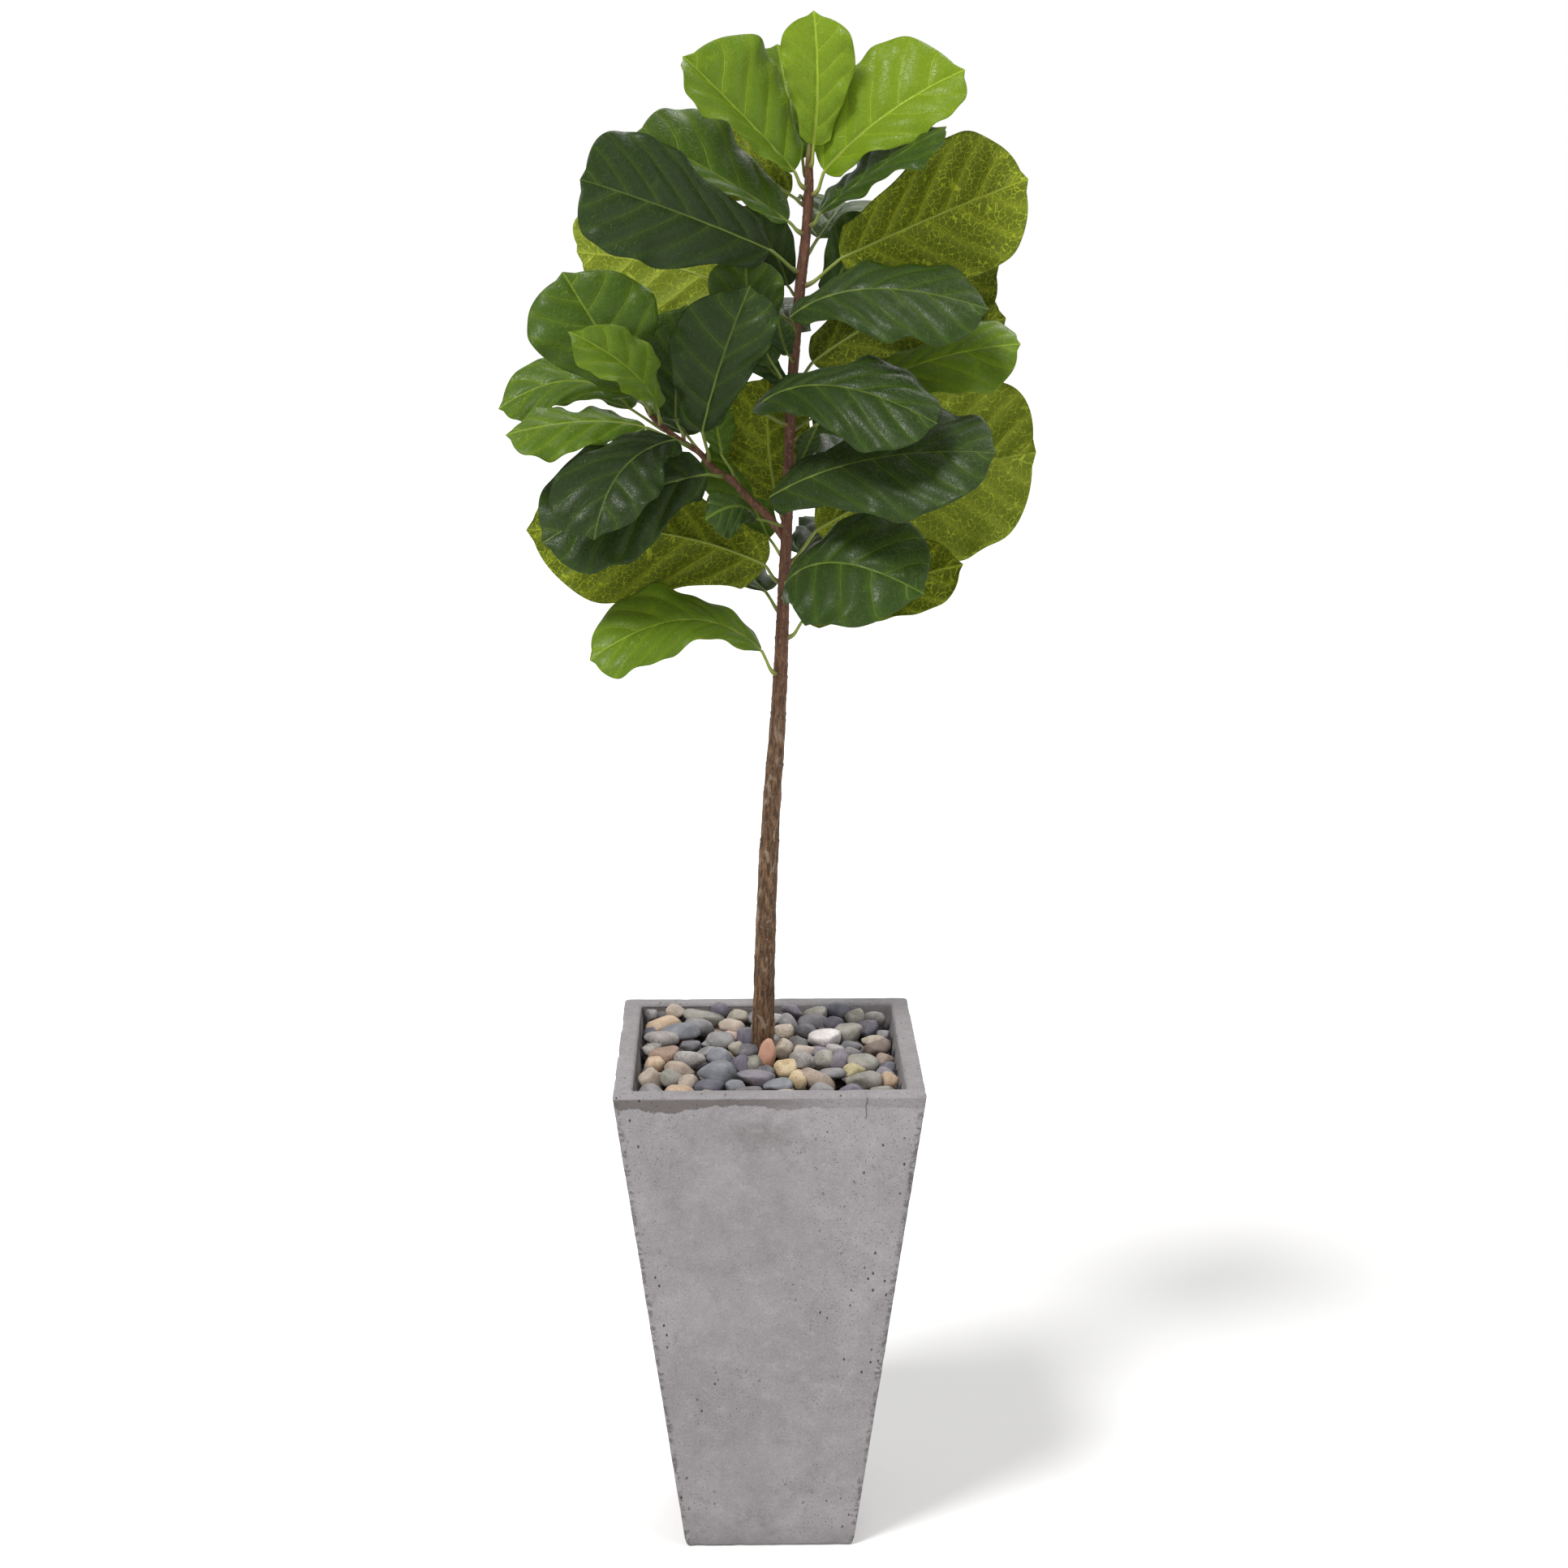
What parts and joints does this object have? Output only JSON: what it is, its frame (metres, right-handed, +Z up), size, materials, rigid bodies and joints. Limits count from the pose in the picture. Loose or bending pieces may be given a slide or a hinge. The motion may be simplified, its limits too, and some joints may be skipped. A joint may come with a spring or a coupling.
{
  "type": "potted fiddle leaf fig",
  "caption": "Young fiddle leaf fig tree with broad veined leaves in a tall tapered square concrete planter, its soil dressed with rounded river pebbles.",
  "frame": {"origin": "centre of the planter's underside, on the floor", "axes": "+Z up along the trunk; the planter's four sides face +X, -X, +Y and -Y, and the side that faces -Y is the front"},
  "size_m": [0.5147, 0.3344, 1.5221],
  "materials": {
    "planter": "rough cast light grey concrete with worn edges",
    "soil": "dark crumbly potting mix",
    "pebbles": "smooth mixed river stones in grey, slate, tan and cream",
    "bark": "ridged mottled brown bark",
    "leaf": "semi-gloss dark green upper side with pale veins, yellow-green netted underside",
    "young_leaf": "satin bright yellow-green with pale veins"
  },
  "bodies": {
    "root": {"leaf_back_left": "leaf", "leaf_back_right": "leaf", "leaf_behind_centre": "leaf", "leaf_behind_low_centre": "leaf", "leaf_behind_low_right": "leaf", "leaf_behind_mid_right": "leaf", "leaf_behind_top": "leaf", "leaf_big_low_left": "leaf", "leaf_big_low_right": "leaf", "leaf_big_right": "leaf", "leaf_broad_low_left": "leaf", "leaf_centre_dark": "leaf", "leaf_centre_droop": "leaf", "leaf_crown_back": "young_leaf", "leaf_crown_centre": "young_leaf", "leaf_crown_left": "young_leaf", "leaf_crown_right": "young_leaf", "leaf_dark_left": "leaf", "leaf_far_left": "leaf", "leaf_folded_left": "leaf", "leaf_front_low_left": "leaf", "leaf_glossy_low_right": "leaf", "leaf_inner_high": "leaf", "leaf_inner_high_right": "leaf", "leaf_inner_left": "leaf", "leaf_inner_low": "leaf", "leaf_inner_middle": "leaf", "leaf_inner_right": "leaf", "leaf_low_right_droop": "leaf", "leaf_lowest_left": "leaf", "leaf_mid_right": "leaf", "leaf_olive_right": "leaf", "leaf_pale_left": "leaf", "leaf_quilted_left": "leaf", "leaf_rear_left": "leaf", "leaf_rear_low_left": "leaf", "leaf_rear_low_right": "leaf", "leaf_rear_right": "leaf", "leaf_rear_top": "leaf", "leaf_rear_upper": "leaf", "leaf_small_front": "leaf", "leaf_small_left": "leaf", "leaf_small_right": "leaf", "leaf_under_branch": "leaf", "leaf_upper_left": "leaf", "leaf_upper_right": "leaf", "planter": "planter", "potting_soil": "soil", "river_pebbles": "pebbles", "trunk": "bark"}
  },
  "joints": []
}
